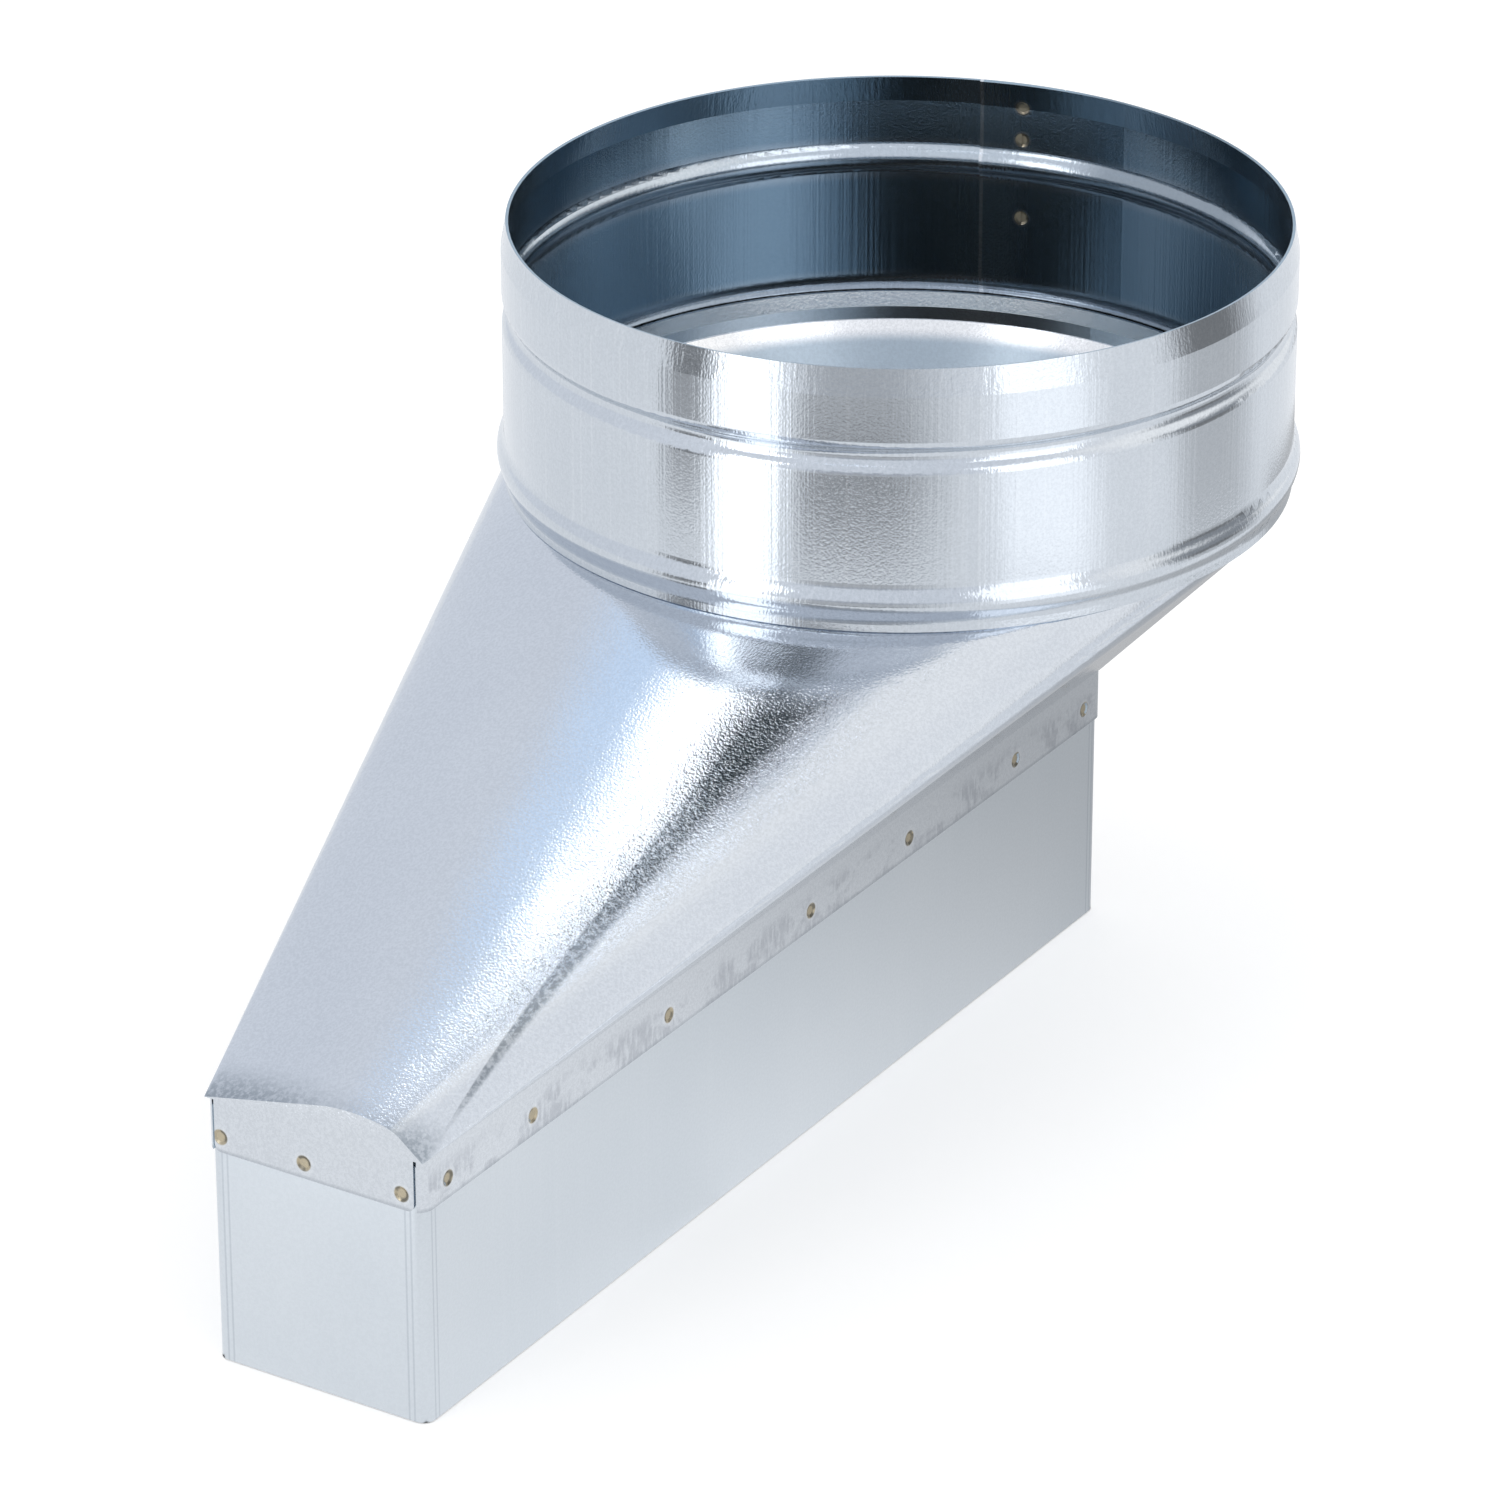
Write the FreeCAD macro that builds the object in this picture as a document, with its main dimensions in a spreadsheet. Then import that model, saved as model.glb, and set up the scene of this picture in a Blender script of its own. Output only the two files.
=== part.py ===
import FreeCAD, Part
import Sketcher
import math
import os
import re

# Flat-to-round duct adapter in zinc-coated sheet steel, made of three formed sheets.
# A low rectangular sleeve slides into flat duct. A sheet form clasps it with four spot-welded tabs
# and leans over to one side, from the long narrow mouth up to a circle. A rolled collar is beaded
# over the form's neck and takes round duct.
# Millimetres, +Z up. The origin is the middle of the sleeve's open mouth, on the plane of its rim,
# with +X along the sleeve's long side, towards the collar.

Vector = FreeCAD.Vector
Rotation = FreeCAD.Rotation
Constraint = Sketcher.Constraint

UP = Vector(0, 0, 1)

# name, value or formula, meaning
SIZES = [
    ("gauge", "0.6", "thickness of the sheet"),
    ("stub_length", "250", "sleeve, outside, long side"),
    ("stub_width", "48", "sleeve, outside, short side"),
    ("stub_bend", "2.5", "outside radius of the sleeve's four folds"),
    ("fold_level", "55.8", "where the form is folded down into the tabs"),
    ("tab_rise", "10.8", "height of the tabs that clasp the sleeve"),
    ("hidden_edge_drop", "1.6", "from the fold down to the sleeve's hidden upper edge"),
    ("slit_gap", "0.5", "width of the slit between a short tab and the long tab beside it"),
    ("slit_inset", "1.7", "from the corner to the slit: the long tab goes on round the corner"),
    ("tab_rounding", "1.5", "radius on the tabs' lower corners"),
    ("apex_radius", "0.25", "inside radius where the form comes to a point at a corner"),
    ("ridge_radius", "7.5", "outside radius of the soft ridge over the near end"),
    ("broad_slope_turn", "27", "how far the near end's broad slope is turned, in degrees"),
    ("steep_slope_turn", "56", "how far the near end's steep slope is turned, in degrees"),
    ("facet_turn", "0.6", "half the arc of the ring that a straight side runs out to, in degrees"),
    ("collar_diameter", "159", "collar, outside, for round duct of 160"),
    ("collar_shift", "82.5", "collar's axis from the middle of the sleeve"),
    ("collar_foot_level", "111.5", "lower edge of the collar"),
    ("collar_rise", "54.5", "collar, from lower edge to rim"),
    ("taper_rise", "5.6", "height of the lead-in under the rim"),
    ("taper_depth", "1", "how far the lead-in draws the rim in"),
    ("groove_drop", "18.4", "from the rim to the middle of the rolled-in groove"),
    ("groove_width", "7", "groove, along the collar"),
    ("groove_depth", "1.5", "groove, inwards"),
    ("lip_rise", "1.5", "plain lip below the rolled-out bead"),
    ("bead_width", "8.5", "bead, along the collar"),
    ("bead_depth", "1.4", "bead, outwards"),
    ("flare_gap", "0.4", "clearance of the form's flared edge inside the bead"),
    ("flare_start", "1.2", "plain neck above the lip before it flares"),
    ("lap_turn", "23.5", "collar's overlap, in degrees"),
    ("lap_start", "-5", "where the collar's overlap starts, from +X, in degrees"),
    ("lap_end_turn", "10", "from there to the outer sheet's end, in degrees"),
    ("lap_weld_turn", "17", "from there to the overlap's spot welds, in degrees"),
    ("seam_lap", "14", "overlap of the seams in the sleeve and the form"),
    ("seam_gap", "0.3", "fine gap at the outer sheet's end, at each seam"),
    ("seam_notch", "0.55", "depth of that gap, nearly one gauge"),
    ("weld_mouth", "1.5", "radius of a spot weld's dimple at the surface"),
    ("weld_floor", "1", "radius of a spot weld's dimple at its floor"),
    ("weld_depth", "0.25", "depth of a spot weld's dimple"),
    ("long_weld_margin", "7.5", "from the sleeve's corner to the last weld, long sides"),
    ("short_weld_margin", "3", "from the sleeve's corner to the last weld, short sides"),
    ("long_weld_lift", "4.2", "welds above the tab's lower edge, long sides"),
    ("short_weld_lift", "3.2", "welds above the tab's lower edge, short sides"),
    ("stub_rise", "=fold_level - hidden_edge_drop", "sleeve, from its mouth to its upper edge"),
    ("tab_edge_level", "=fold_level - tab_rise", "lower edge of the tabs"),
    # the form, outside, and the slopes of its wall
    ("half_length", "=stub_length / 2 + gauge", "outside of the short tabs, from the middle"),
    ("half_width", "=stub_width / 2 + gauge", "outside of the long tabs, from the middle"),
    ("collar_radius", "=collar_diameter / 2", "collar, outside"),
    ("neck_radius", "=collar_radius - gauge", "form's neck, outside, tight in the collar"),
    ("form_rise", "=collar_foot_level - fold_level", "height of the ruled form"),
    ("near_run", "=(collar_shift - neck_radius + half_length) / form_rise", "near slope, run to rise"),
    ("side_run", "=(neck_radius - half_width) / form_rise", "side slope, run to rise"),
    ("far_run", "=(collar_shift + neck_radius - half_length) / form_rise", "far slope, run to rise"),
    # the core that hollows the form: as much smaller, lower and further over as leaves one gauge
    ("near_wall", "=gauge * sqrt(1 + near_run ^ 2)", "level distance through the near wall"),
    ("side_wall", "=gauge * sqrt(1 + side_run ^ 2)", "level distance through a side wall"),
    ("far_wall", "=gauge * sqrt(1 + far_run ^ 2)", "level distance through the far wall"),
    ("mean_wall", "=(near_wall + far_wall) / 2", "mean of the two end walls"),
    ("core_drop", "=(mean_wall - side_wall) / ((near_run - far_run) / 2 + side_run)", "core lower by"),
    ("core_inset", "=side_wall + side_run * core_drop", "core smaller each way by"),
    (
        "core_shift",
        "=(near_wall - far_wall) / 2 - (near_run + far_run) / 2 * core_drop",
        "core nearer the collar by",
    ),
    # arcs of the rolled groove and bead, from their widths and depths
    ("groove_turn", "=2 * atan(2 * groove_depth / groove_width)", "turn of the groove's side arcs"),
    ("groove_arc", "=groove_width / (4 * sin(groove_turn))", "radius of the groove's arcs"),
    ("bead_turn", "=2 * atan(2 * bead_depth / bead_width)", "turn of the bead's side arcs"),
    ("bead_arc", "=bead_width / (4 * sin(bead_turn))", "radius of the bead's arcs"),
    ("groove_level", "=collar_rise - groove_drop - groove_width / 2", "groove's lower side"),
    ("lap_offset", "=gauge / sin(lap_turn)", "axis of the overlap from the collar's own"),
]

# places of the tabs' spot welds, from one end weld (0) to the other (1), as uneven as hand work is
LONG_SIDE_WELDS = (0.0, 0.12, 0.32, 0.54, 0.7, 0.88, 1.0)
SHORT_SIDE_WELDS = (0.03, 0.55, 1.0)
# spot welds of the seams: below the collar's rim, above the sleeve's mouth, and up the form's slope
COLLAR_WELD_DROPS = (5.4, 12.6, 30.0)
STUB_WELD_LEVELS = (9.0, 34.0)
FORM_WELD_PLACES = (0.14, 0.45, 0.76)

# how far a cutting block reaches past what it cuts
CUT_REACH = 2.0
# how deep a seam's inner layer is bedded in the wall that it lies on
SEAM_BED = 0.1


def fill_sheet(doc):
    """Enter the sizes, one to a row, each under its own name."""
    sheet = doc.addObject("Spreadsheet::Sheet", "sizes")
    for row, (name, value, meaning) in enumerate(SIZES, start=1):
        sheet.set(f"A{row}", name)
        sheet.set(f"B{row}", value)
        sheet.set(f"C{row}", meaning)
        sheet.setAlias(f"B{row}", name)
    doc.recompute()
    return sheet


def size(sheet, name):
    """A size from the sheet, as a plain number."""
    value = sheet.get(name)
    return float(getattr(value, "Value", value))


def tied(expression):
    """An expression in the sheet's names, as the other objects refer to them."""
    names = "|".join(name for name, _, _ in SIZES)
    return re.sub(rf"\b({names})\b", r"sizes.\1", expression)


def bind(item, **expressions):
    """Tie an object's properties to the sheet. Two underscores stand for a dot."""
    for path, expression in expressions.items():
        item.setExpression(path.replace("__", "."), tied(expression))
    return item


def place(item, x="0", y="0", z="0"):
    """Tie an object's position to the sheet."""
    return bind(item, Placement__Base__x=x, Placement__Base__y=y, Placement__Base__z=z)


def box(doc, name, length, width, height, x="0", y="0", z="0"):
    """A block whose sizes and corner are tied to the sheet."""
    item = doc.addObject("Part::Box", name)
    bind(item, Length=length, Width=width, Height=height)
    return place(item, x, y, z)


def cylinder(doc, name, radius, height, x="0", y="0", z="0"):
    """An upright cylinder tied to the sheet."""
    item = doc.addObject("Part::Cylinder", name)
    bind(item, Radius=radius, Height=height)
    return place(item, x, y, z)


def cone(doc, name, low_radius, high_radius, height, x="0", y="0", z="0"):
    """A cone tied to the sheet, upright until it is turned."""
    item = doc.addObject("Part::Cone", name)
    bind(item, Radius1=low_radius, Radius2=high_radius, Height=height)
    return place(item, x, y, z)


def dimple(doc, name, outward, x, y, z):
    """The hollow that a spot weld leaves, narrowing inwards from the surface at x, y, z."""
    item = cone(doc, name, "weld_floor", "weld_mouth", "weld_depth", x, y, z)
    item.Placement.Rotation = Rotation(UP, outward)
    return item


def boolean(doc, kind, name, base, tool):
    """One shape cut by another, or what the two share."""
    item = doc.addObject(f"Part::{kind}", name)
    item.Base = base
    item.Tool = tool
    return item


def fuse(doc, name, shapes):
    """Several shapes as one."""
    item = doc.addObject("Part::MultiFuse", name)
    item.Shapes = shapes
    return item


def flat_sketch(body, name, role):
    """A sketch on one of the body's own origin planes."""
    sketch = body.newObject("Sketcher::SketchObject", name)
    plane = next(item for item in body.Origin.OriginFeatures if item.Role == role)
    sketch.AttachmentSupport = [(plane, "")]
    sketch.MapMode = "FlatFace"
    return sketch


def limit(sketch, name, constraint, expression):
    """Add a dimension to a sketch and tie it to the sheet."""
    index = sketch.addConstraint(constraint)
    sketch.renameConstraint(index, name)
    sketch.setExpression(f"Constraints.{name}", tied(expression))


def rounded_rectangle(sketch, prefix, values, expressions):
    """A rectangle about the origin with rounded corners. Values and expressions are its length,
    width and radius."""
    length, width, radius = values
    x, y = length / 2 - radius, width / 2 - radius
    centres = (Vector(x, -y), Vector(x, y), Vector(-x, y), Vector(-x, -y))
    lines = []
    arcs = []
    for index, centre in enumerate(centres):
        start = (index - 1) * math.pi / 2
        out = Vector(math.cos(start), math.sin(start)) * radius
        line = Part.LineSegment(centres[index - 1] + out, centre + out)
        arc = Part.ArcOfCircle(Part.Circle(centre, UP, radius), start, start + math.pi / 2)
        lines.append(sketch.addGeometry(line))
        arcs.append(sketch.addGeometry(arc))
    for index in range(4):
        following = lines[(index + 1) % 4]
        sketch.addConstraint(Constraint("Tangent", lines[index], 2, arcs[index], 1))
        sketch.addConstraint(Constraint("Tangent", arcs[index], 2, following, 1))
    for index in range(3):
        sketch.addConstraint(Constraint("Equal", arcs[index], arcs[index + 1]))
    for index in (0, 2):
        sketch.addConstraint(Constraint("Horizontal", lines[index]))
        sketch.addConstraint(Constraint("Vertical", lines[index + 1]))
    sketch.addConstraint(Constraint("Symmetric", lines[0], 1, lines[2], 1, -1, 1))
    across = Constraint("DistanceX", lines[3], 1, lines[1], 1, length)
    along = Constraint("DistanceY", lines[0], 1, lines[2], 1, width)
    limit(sketch, f"{prefix}_length", across, expressions[0])
    limit(sketch, f"{prefix}_width", along, expressions[1])
    limit(sketch, f"{prefix}_radius", Constraint("Radius", arcs[0], radius), expressions[2])


def plain_rectangle(sketch, low, high, expressions):
    """An upright rectangle from low to high. The expressions are its left, bottom, width, height,
    the first two of them measured from the origin."""
    corners = (low, Vector(high.x, low.y), high, Vector(low.x, high.y))
    sides = []
    for index, corner in enumerate(corners):
        sides.append(sketch.addGeometry(Part.LineSegment(corner, corners[(index + 1) % 4])))
    for index, side in enumerate(sides):
        sketch.addConstraint(Constraint("Coincident", side, 2, sides[(index + 1) % 4], 1))
    for index in (0, 2):
        sketch.addConstraint(Constraint("Horizontal", sides[index]))
        sketch.addConstraint(Constraint("Vertical", sides[index + 1]))
    limit(sketch, "left", Constraint("DistanceX", -1, 1, sides[0], 1, low.x), expressions[0])
    limit(sketch, "bottom", Constraint("DistanceY", -1, 1, sides[0], 1, low.y), expressions[1])
    across = Constraint("DistanceX", sides[0], 1, sides[0], 2, high.x - low.x)
    along = Constraint("DistanceY", sides[1], 1, sides[1], 2, high.y - low.y)
    limit(sketch, "across", across, expressions[2])
    limit(sketch, "along", along, expressions[3])


def build_stub(doc, sheet):
    """The sleeve: one strip folded round at four corners, its ends lapped and spot-welded at the
    back. A fine gap outside shows where the outer end stops, and the inner end lies behind it."""
    body = doc.addObject("PartDesign::Body", "flat_stub")
    body.Label = "flat_stub"
    length, width = size(sheet, "stub_length"), size(sheet, "stub_width")
    gauge, bend = size(sheet, "gauge"), size(sheet, "stub_bend")

    section = flat_sketch(body, "sleeve_section", "XY_Plane")
    outer_names = ("stub_length", "stub_width", "stub_bend")
    rounded_rectangle(section, "outside", (length, width, bend), outer_names)
    inner_values = (length - 2 * gauge, width - 2 * gauge, bend - gauge)
    inner_names = ("stub_length - 2 * gauge", "stub_width - 2 * gauge", "stub_bend - gauge")
    rounded_rectangle(section, "inside", inner_values, inner_names)
    sleeve = body.newObject("PartDesign::Pad", "sleeve")
    sleeve.Profile = section
    bind(sleeve, Length="stub_rise")

    lap, back = size(sheet, "seam_lap"), width / 2 - gauge
    strip = flat_sketch(body, "inner_end_section", "XY_Plane")
    names = ("-seam_lap / 2", "stub_width / 2 - 2 * gauge", "seam_lap", f"gauge + {SEAM_BED}")
    plain_rectangle(strip, Vector(-lap / 2, back - gauge), Vector(lap / 2, back + SEAM_BED), names)
    inner_end = body.newObject("PartDesign::Pad", "inner_end")
    inner_end.Profile = strip
    bind(inner_end, Length="stub_rise")

    gap, notch = size(sheet, "seam_gap"), size(sheet, "seam_notch")
    slot = flat_sketch(body, "outer_end_section", "XY_Plane")
    names = ("-seam_gap / 2", "stub_width / 2 - seam_notch", "seam_gap", f"seam_notch + {CUT_REACH}")
    low, high = Vector(-gap / 2, width / 2 - notch), Vector(gap / 2, width / 2 + CUT_REACH)
    plain_rectangle(slot, low, high, names)
    outer_end = body.newObject("PartDesign::Pocket", "outer_end")
    outer_end.Profile = slot
    outer_end.Reversed = True
    bind(outer_end, Length="stub_rise")

    dots = flat_sketch(body, "seam_weld_places", "XZ_Plane")
    bind(dots, AttachmentOffset__Base__z="-stub_width / 2")
    for index, level in enumerate(STUB_WELD_LEVELS):
        centre = Vector(lap / 4, level)
        circle = sketch_circle(dots, centre, size(sheet, "weld_mouth"))
        limit(dots, f"side_{index}", Constraint("DistanceX", -1, 1, circle, 3, lap / 4), "seam_lap / 4")
        limit(dots, f"level_{index}", Constraint("DistanceY", -1, 1, circle, 3, level), f"{level}")
        radius = Constraint("Radius", circle, size(sheet, "weld_mouth"))
        limit(dots, f"radius_{index}", radius, "weld_mouth")
    welds = body.newObject("PartDesign::Pocket", "seam_welds")
    welds.Profile = dots
    welds.Reversed = True
    bind(welds, Length="weld_depth")
    body.Tip = welds
    return body


def sketch_circle(sketch, centre, radius):
    """A circle in a sketch."""
    return sketch.addGeometry(Part.Circle(centre, UP, radius))


def form_sides(sheet):
    """The form's five straight sides in order round the mouth: the direction that each faces, in
    radians from +X, its distance from the middle, and the radius of the turn that follows it. The
    near end has two, one broad and one steep, which meet in a soft ridge."""
    half_length, half_width = size(sheet, "half_length"), size(sheet, "half_width")
    broad = math.pi - math.radians(size(sheet, "broad_slope_turn"))
    steep = math.pi + math.radians(size(sheet, "steep_slope_turn"))
    apex = size(sheet, "apex_radius") + size(sheet, "core_inset")
    broad_distance = direction(broad).dot(Vector(-half_length, half_width))
    steep_distance = direction(steep).dot(Vector(-half_length, -half_width))
    return [
        (0.0, half_length, apex),
        (math.pi / 2, half_width, apex),
        (broad, broad_distance, size(sheet, "ridge_radius")),
        (steep, steep_distance, apex),
        (1.5 * math.pi, half_width, apex),
    ]


def direction(angle):
    """The level direction at an angle from +X."""
    return Vector(math.cos(angle), math.sin(angle), 0)


def crossing(first, second):
    """Where two sides meet when they are drawn out. Each is a direction and a distance."""
    a, b = direction(first[0]), direction(second[0])
    spread = a.x * b.y - a.y * b.x
    x = (first[1] * b.y - a.y * second[1]) / spread
    y = (a.x * second[1] - first[1] * b.x) / spread
    return Vector(x, y, 0)


def mouth_wire(sheet, inset):
    """The form's lower outline: its straight sides, and an arc at each turn between them."""
    sides = [(angle, away - inset, radius - inset) for angle, away, radius in form_sides(sheet)]
    turns = []
    for index, side in enumerate(sides):
        following = sides[(index + 1) % len(sides)]
        turn = (following[0] - side[0]) % (2 * math.pi)
        radius = side[2]
        reach = radius * math.tan(turn / 2)
        start = crossing(side, following) - direction(side[0] + math.pi / 2) * reach
        centre = start - direction(side[0]) * radius
        middle = centre + direction(side[0] + turn / 2) * radius
        turns.append((start, middle, centre + direction(side[0] + turn) * radius))
    edges = []
    for index, (start, middle, end) in enumerate(turns):
        edges.append(Part.LineSegment(turns[index - 1][2], start).toShape())
        edges.append(Part.Arc(start, middle, end).toShape())
    return Part.Wire(edges)


def ring_wire(sheet, inset):
    """The form's upper outline: a circle, divided where it faces the same way as the mouth's sides
    and turns. Each side runs up to a very short arc and each turn to the long arc that turns as
    far, so the sheet between them bends one way only, as rolled sheet does."""
    radius = size(sheet, "neck_radius") - inset
    facet = math.radians(size(sheet, "facet_turn"))
    angles = [side[0] for side in form_sides(sheet)]
    edges = []
    for index, angle in enumerate(angles):
        following = angles[(index + 1) % len(angles)]
        turn = (following - angle) % (2 * math.pi)
        for start, end in ((angle - facet, angle + facet), (angle + facet, angle + turn - facet)):
            points = [direction(place) * radius for place in (start, (start + end) / 2, end)]
            edges.append(Part.Arc(*points).toShape())
    return Part.Wire(edges)


def ruled_form(doc, name, sheet, inset, shift, drop):
    """The solid between the mouth's outline and the circle, ruled with straight lines."""
    sections = []
    outlines = (
        ("mouth", mouth_wire(sheet, inset), shift, f"fold_level - ({drop})"),
        ("ring", ring_wire(sheet, inset), f"collar_shift + {shift}", f"collar_foot_level - ({drop})"),
    )
    for part, wire, x, z in outlines:
        section = doc.addObject("Part::Feature", f"{name}_{part}")
        section.Shape = wire
        sections.append(place(section, x=x, z=z))
    loft = doc.addObject("Part::Loft", name)
    loft.Sections = sections
    loft.Solid = True
    loft.Ruled = True
    return loft


def build_form(doc, sheet):
    """The form: a ruled sheet from the long mouth up to the circle, its lower margin folded down
    into four tabs that lie on the sleeve, slit apart at the corners, and its neck run up into the
    collar and flared out inside the collar's bead."""
    outside = ruled_form(doc, "form_outside", sheet, 0.0, "0", "0")
    core = ruled_form(doc, "form_core", sheet, size(sheet, "core_inset"), "core_shift", "core_drop")

    # the plane of the near tab cuts the sloping sheet in the arched fold over the near end
    reach = f"{CUT_REACH}"
    span = f"collar_shift + neck_radius + half_length + {reach}"
    width = f"2 * neck_radius + 2 * {reach}"
    side = f"-neck_radius - {reach}"
    height = f"form_rise + 2 * {reach}"
    level = f"fold_level - {reach}"
    outer_side = box(doc, "outer_side_of_fold", span, width, height, "-half_length", side, level)
    inner_side = box(doc, "inner_side_of_fold", span, width, height, "-stub_length / 2", side, level)
    outside = boolean(doc, "Common", "form_beyond_fold", outside, outer_side)
    core = boolean(doc, "Common", "core_beyond_fold", core, inner_side)

    skirt = box(
        doc, "skirt", "2 * half_length", "2 * half_width", "tab_rise",
        "-half_length", "-half_width", "tab_edge_level",
    )
    seat = box(
        doc, "sleeve_seat", "stub_length", "stub_width", f"tab_rise + {reach}",
        "-stub_length / 2", "-stub_width / 2", f"tab_edge_level - {reach}",
    )
    # the long tabs go round the corners as tightly as the sleeve does
    bend = size(sheet, "stub_bend")
    skirt = round_corners(doc, skirt, bend + size(sheet, "gauge"))
    seat = round_corners(doc, seat, bend)

    neck_rise = "lip_rise + flare_start"
    flare_rise = "bead_width / 2 - flare_start"
    flare_level = f"collar_foot_level + {neck_rise}"
    flare_reach = "bead_depth - flare_gap"
    neck = cylinder(doc, "neck", "neck_radius", neck_rise, "collar_shift", "0", "collar_foot_level")
    flare = cone(
        doc, "flare", "neck_radius", f"neck_radius + {flare_reach}", flare_rise,
        "collar_shift", "0", flare_level,
    )
    bore = cylinder(
        doc, "neck_bore", "neck_radius - gauge", f"{neck_rise} + core_drop",
        "collar_shift", "0", "collar_foot_level - core_drop",
    )
    flare_bore = cone(
        doc, "flare_bore", "neck_radius - gauge", f"neck_radius - gauge + {flare_reach}", flare_rise,
        "collar_shift", "0", flare_level,
    )

    solid = fuse(doc, "form_solid", [outside, skirt, neck, flare])
    hollow = fuse(doc, "form_hollow", [core, seat, bore, flare_bore])
    shell = boolean(doc, "Cut", "form_shell", solid, hollow)
    shell = boolean(doc, "Cut", "form_slit", shell, corner_slits(doc))
    shell = fuse(doc, "form_lapped", [shell, seam_strip(doc, sheet)])
    shell = boolean(doc, "Cut", "form_seamed", shell, seam_slot(doc, sheet))
    shell = boolean(doc, "Cut", "form_welded", shell, seam_welds(doc, sheet))
    doc.recompute()
    shell = round_tabs(doc, sheet, shell)
    form = boolean(doc, "Cut", "transition_body", shell, tab_welds(doc))
    form.Label = "transition_body"
    return form


def round_corners(doc, block, radius):
    """Round a block's four upright edges."""
    doc.recompute()
    chosen = []
    for index, edge in enumerate(block.Shape.Edges, start=1):
        if abs(edge.tangentAt(edge.FirstParameter).z) > 0.99:
            chosen.append((index, radius, radius))
    rounded = doc.addObject("Part::Fillet", f"{block.Name}_rounded")
    rounded.Base = block
    rounded.Edges = chosen
    return rounded


def corner_slits(doc):
    """The slit beside each corner, where a short tab ends and the long tab's end lies round the
    corner."""
    slits = []
    through = f"gauge + stub_bend + {CUT_REACH}"
    rise = f"tab_rise + {CUT_REACH}"
    level = f"tab_edge_level - {CUT_REACH}"
    ends = (("near", f"-half_length - {CUT_REACH}"), ("far", "half_length - gauge - stub_bend"))
    flanks = (("front", "slit_inset - half_width"), ("back", "half_width - slit_inset - slit_gap"))
    for end, x in ends:
        for flank, y in flanks:
            slits.append(box(doc, f"slit_{end}_{flank}", through, "slit_gap", rise, x, y, level))
    return fuse(doc, "slits", slits)


def lean_on_back(sheet, item):
    """Tip a block so that its depth lies through the form's back slope."""
    lean = math.degrees(math.atan(size(sheet, "side_run")))
    item.Placement.Rotation = Rotation(Vector(1, 0, 0), -lean)
    return item


def seam_strip(doc, sheet):
    """The inner layer of the form's seam, on the inside of the flat slope at the back."""
    slant = "sqrt(1 + side_run ^ 2)"
    # a point this far up the slope's inner face, and this deep behind it
    start = 3.0
    strip = box(doc, "seam_strip", "seam_lap", f"gauge + {SEAM_BED}", f"form_rise * {slant} - {2 * start}")
    lean_on_back(sheet, strip)
    depth = f"(2 * gauge) * {slant}"
    place(
        strip,
        "collar_shift - seam_lap / 2",
        f"half_width + ({start}) * side_run / {slant} - {depth} / (1 + side_run ^ 2)",
        f"fold_level + ({start}) / {slant} + {depth} * side_run / (1 + side_run ^ 2)",
    )
    return strip


def seam_slot(doc, sheet):
    """The fine gap at the end of the outer layer, down the middle of the flat slope at the back."""
    slant = "sqrt(1 + side_run ^ 2)"
    slot = box(doc, "seam_slot", "seam_gap", f"seam_notch + {CUT_REACH}", f"form_rise * {slant}")
    lean_on_back(sheet, slot)
    place(
        slot,
        "collar_shift - seam_gap / 2",
        f"half_width - seam_notch / {slant}",
        f"fold_level + seam_notch * side_run / {slant}",
    )
    return slot


def seam_welds(doc, sheet):
    """The dimples of the form's seam welds, up the flat slope at the back beside the fine gap."""
    slant = "sqrt(1 + side_run ^ 2)"
    outward = Vector(0, 1, -size(sheet, "side_run"))
    dimples = []
    for index, part in enumerate(FORM_WELD_PLACES):
        up = f"{part} * form_rise"
        x = "collar_shift + seam_lap / 4"
        y = f"half_width + {up} * side_run - weld_depth / {slant}"
        z = f"fold_level + {up} + weld_depth * side_run / {slant}"
        dimples.append(dimple(doc, f"form_seam_weld_{index}", outward, x, y, z))
    return fuse(doc, "form_seam_welds", dimples)


def round_tabs(doc, sheet, shell):
    """Round the lower corners of the short tabs: the edges there that run through the sheet
    beside the slits."""
    level, radius = size(sheet, "tab_edge_level"), size(sheet, "tab_rounding")
    tab_end = size(sheet, "half_width") - size(sheet, "slit_inset") - size(sheet, "slit_gap")
    chosen = []
    for index, edge in enumerate(shell.Shape.Edges, start=1):
        extent = edge.BoundBox
        low = extent.ZMax < level + 0.01
        at_end = abs(extent.Center.y) - tab_end
        if low and abs(at_end) < 0.01 and extent.YLength < 0.01:
            chosen.append((index, radius, radius))
    rounded = doc.addObject("Part::Fillet", "form_rounded")
    rounded.Base = shell
    rounded.Edges = chosen
    return rounded


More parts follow.
